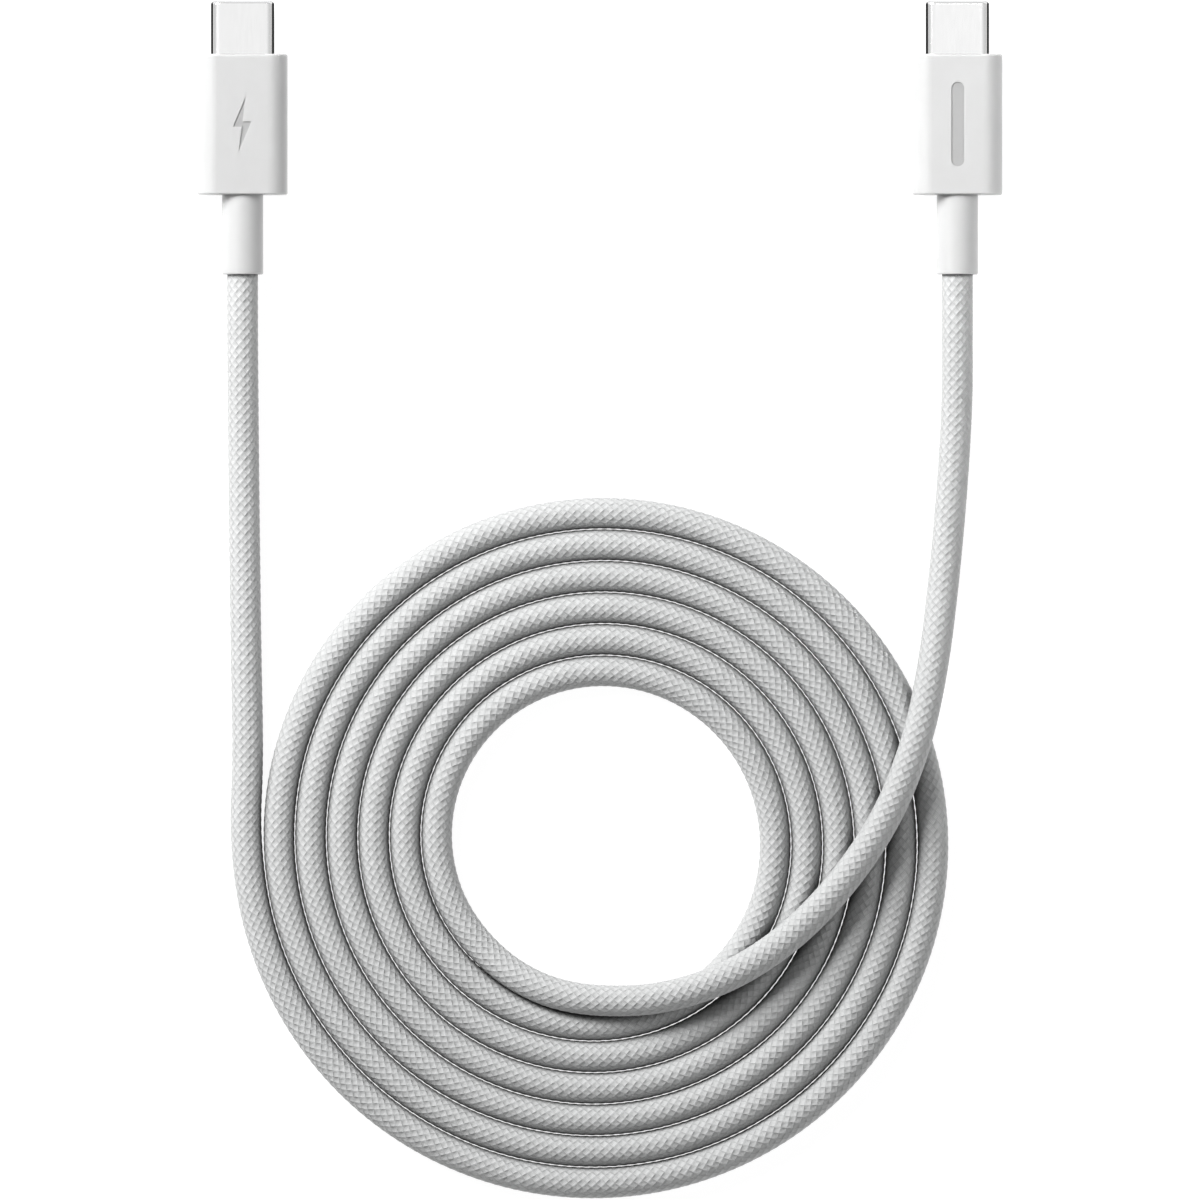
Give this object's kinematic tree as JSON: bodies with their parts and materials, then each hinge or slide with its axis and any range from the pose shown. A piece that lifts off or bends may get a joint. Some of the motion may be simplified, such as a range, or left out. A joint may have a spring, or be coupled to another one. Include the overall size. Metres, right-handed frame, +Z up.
{
  "type": "charging cable",
  "caption": "Braided charging cable with a USB-C plug on each end, its cord wound into a flat spiral coil.",
  "frame": {"origin": "on the floor under the point midway between the two plugs and midway along them", "axes": "+X from plug a to plug b, +Y towards the plugs' tips, +Z up from the floor the cable lies on"},
  "size_m": [0.105, 0.1563, 0.0083],
  "materials": {
    "white_body": "satin white",
    "steel_shell": "bright fine satin steel",
    "black_carrier": "moulded black",
    "contact_metal": "gold plated",
    "spring_steel": "stamped",
    "board": "green solder mask",
    "chip": "black epoxy",
    "can_steel": "tinned stamped steel",
    "red_wire": "red insulation",
    "black_wire": "black insulation",
    "blue_wire": "blue insulation",
    "green_wire": "green insulation",
    "cord_braid": "white textile braid",
    "inner_plastic": "translucent white moulding"
  },
  "bodies": {
    "root": {"plug_a_overmould": "white_body", "plug_a_strain_relief": "white_body", "plug_a_shell": "steel_shell", "plug_a_insulator": "black_carrier", "plug_a_contact_tails_upper": "contact_metal", "plug_a_contact_tails_lower": "contact_metal", "plug_a_latch_base": "spring_steel", "plug_a_ground_spring_upper": "spring_steel", "plug_a_ground_spring_lower": "spring_steel", "plug_a_circuit_board": "board", "plug_a_marker_chip": "chip", "plug_a_board_parts": "chip", "plug_a_shield_can_upper": "can_steel", "plug_a_shield_can_lower": "can_steel", "plug_a_wire_power": "red_wire", "plug_a_wire_ground": "black_wire", "plug_a_wire_cc": "blue_wire", "plug_a_wires_data": "green_wire", "plug_a_cable_end": "cord_braid", "plug_a_crimp_ferrule": "can_steel", "plug_a_inner_mould": "inner_plastic", "plug_b_overmould": "white_body", "plug_b_strain_relief": "white_body", "plug_b_shell": "steel_shell", "plug_b_insulator": "black_carrier", "plug_b_contact_tails_upper": "contact_metal", "plug_b_contact_tails_lower": "contact_metal", "plug_b_latch_base": "spring_steel", "plug_b_ground_spring_upper": "spring_steel", "plug_b_ground_spring_lower": "spring_steel", "plug_b_circuit_board": "board", "plug_b_marker_chip": "chip", "plug_b_board_parts": "chip", "plug_b_shield_can_upper": "can_steel", "plug_b_shield_can_lower": "can_steel", "plug_b_wire_power": "red_wire", "plug_b_wire_ground": "black_wire", "plug_b_wire_cc": "blue_wire", "plug_b_wires_data": "green_wire", "plug_b_cable_end": "cord_braid", "plug_b_crimp_ferrule": "can_steel", "plug_b_inner_mould": "inner_plastic", "cord_lead": "cord_braid", "cord_coil": "cord_braid", "cord_crossing": "cord_braid"},
    "plug_a_contact_beams_upper": {"plug_a_contact_beams_upper": "contact_metal"},
    "plug_a_contact_beams_lower": {"plug_a_contact_beams_lower": "contact_metal"},
    "plug_a_latch_arm_left": {"plug_a_latch_arm_left": "spring_steel"},
    "plug_a_latch_arm_right": {"plug_a_latch_arm_right": "spring_steel"},
    "plug_b_contact_beams_upper": {"plug_b_contact_beams_upper": "contact_metal"},
    "plug_b_contact_beams_lower": {"plug_b_contact_beams_lower": "contact_metal"},
    "plug_b_latch_arm_left": {"plug_b_latch_arm_left": "spring_steel"},
    "plug_b_latch_arm_right": {"plug_b_latch_arm_right": "spring_steel"}
  },
  "joints": [
    {"name": "plug_a_latch_left_flex", "type": "hinge", "parent": "root", "child": "plug_a_latch_arm_left", "pos_m": [-0.05004, 0.00833, 0.0032], "axis": [0, 0, 1], "range_deg": [0, 2.2], "stiffness_Nm_per_rad": 0.43},
    {"name": "plug_a_latch_right_flex", "type": "hinge", "parent": "root", "child": "plug_a_latch_arm_right", "pos_m": [-0.0433, 0.00833, 0.0032], "axis": [0, 0, -1], "range_deg": [0, 2.2], "stiffness_Nm_per_rad": 0.43},
    {"name": "plug_a_contacts_upper_flex", "type": "hinge", "parent": "root", "child": "plug_a_contact_beams_upper", "pos_m": [-0.04667, 0.00838, 0.00378], "axis": [1, 0, 0], "range_deg": [0, 1.2], "stiffness_Nm_per_rad": 0.5},
    {"name": "plug_a_contacts_lower_flex", "type": "hinge", "parent": "root", "child": "plug_a_contact_beams_lower", "pos_m": [-0.04667, 0.00838, 0.00263], "axis": [-1, 0, 0], "range_deg": [0, 1.2], "stiffness_Nm_per_rad": 0.5},
    {"name": "plug_b_latch_left_flex", "type": "hinge", "parent": "root", "child": "plug_b_latch_arm_left", "pos_m": [0.0433, 0.00833, 0.0032], "axis": [0, 0, 1], "range_deg": [0, 2.2], "stiffness_Nm_per_rad": 0.43},
    {"name": "plug_b_latch_right_flex", "type": "hinge", "parent": "root", "child": "plug_b_latch_arm_right", "pos_m": [0.05004, 0.00833, 0.0032], "axis": [0, 0, -1], "range_deg": [0, 2.2], "stiffness_Nm_per_rad": 0.43},
    {"name": "plug_b_contacts_upper_flex", "type": "hinge", "parent": "root", "child": "plug_b_contact_beams_upper", "pos_m": [0.04667, 0.00838, 0.00378], "axis": [1, 0, 0], "range_deg": [0, 1.2], "stiffness_Nm_per_rad": 0.5},
    {"name": "plug_b_contacts_lower_flex", "type": "hinge", "parent": "root", "child": "plug_b_contact_beams_lower", "pos_m": [0.04667, 0.00838, 0.00263], "axis": [-1, 0, 0], "range_deg": [0, 1.2], "stiffness_Nm_per_rad": 0.5}
  ]
}
